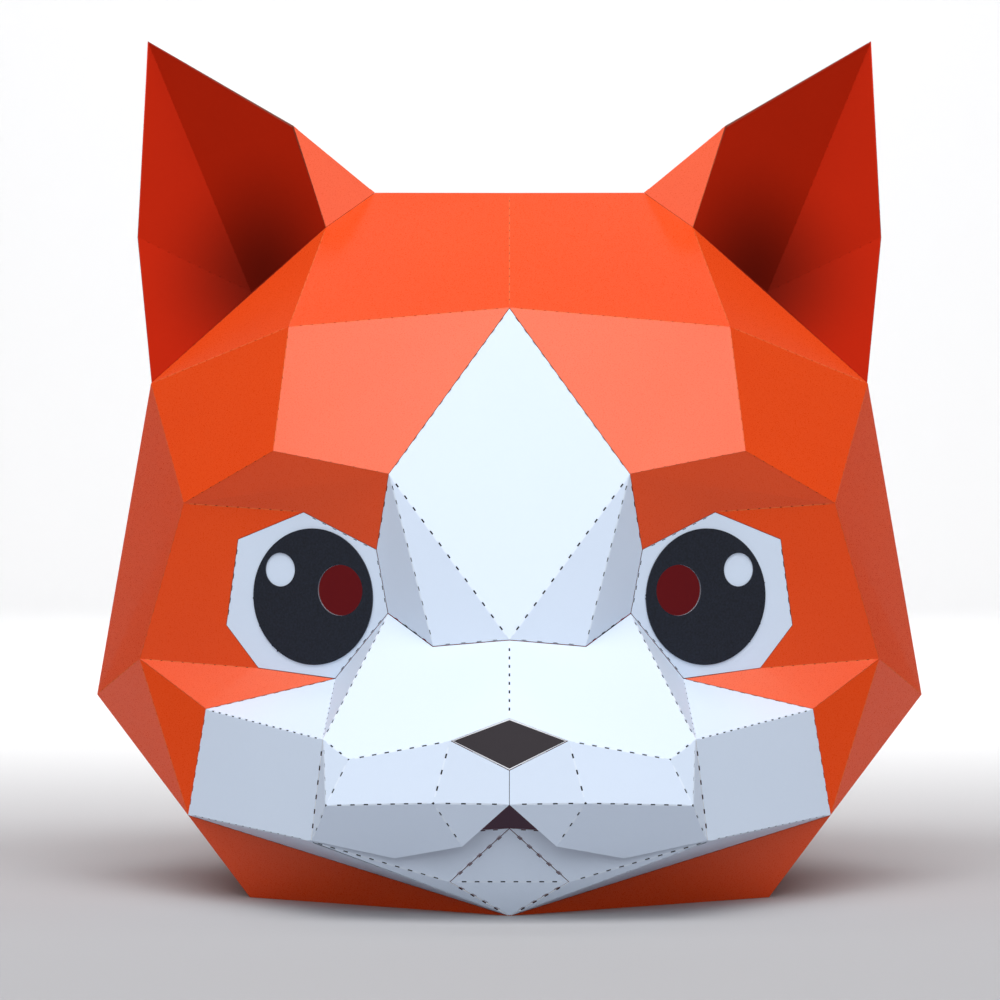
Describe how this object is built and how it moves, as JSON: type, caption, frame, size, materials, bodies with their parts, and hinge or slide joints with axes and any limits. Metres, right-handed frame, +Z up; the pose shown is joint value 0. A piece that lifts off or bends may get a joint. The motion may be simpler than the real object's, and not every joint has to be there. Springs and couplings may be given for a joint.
{
  "type": "paper animal mask",
  "caption": "Full-head folded-card animal mask with pointed ears, a white muzzle, dark eyes with peepholes, and a hollow that opens at the neck.",
  "frame": {"origin": "middle of the box round the mask, on the underside of the neck rim that it stands on", "axes": "+Z up, -Y the way the face looks, +X to the right of someone who looks at the face"},
  "size_m": [0.2808, 0.271, 0.294],
  "materials": {
    "orange_card": "satin coloured card",
    "white_card": "matte white card",
    "black_card": "matte black card",
    "charcoal_card": "matte charcoal card"
  },
  "bodies": {
    "root": {"blaze": "white_card", "muzzle": "white_card", "chin": "white_card", "nose": "charcoal_card", "eye_patch_left": "white_card", "white_cheek_left": "white_card", "brow_and_cheek_left": "orange_card", "ruff_side_left": "orange_card", "under_jaw_left": "orange_card", "ear_lining_left": "orange_card", "ear_left": "orange_card", "head_side_left": "orange_card", "pupil_left": "black_card", "eye_patch_right": "white_card", "white_cheek_right": "white_card", "brow_and_cheek_right": "orange_card", "ruff_side_right": "orange_card", "under_jaw_right": "orange_card", "ear_lining_right": "orange_card", "ear_right": "orange_card", "head_side_right": "orange_card", "pupil_right": "black_card", "forehead": "orange_card", "crown_rear": "orange_card", "nape": "orange_card", "neck_rim": "orange_card"}
  },
  "joints": []
}
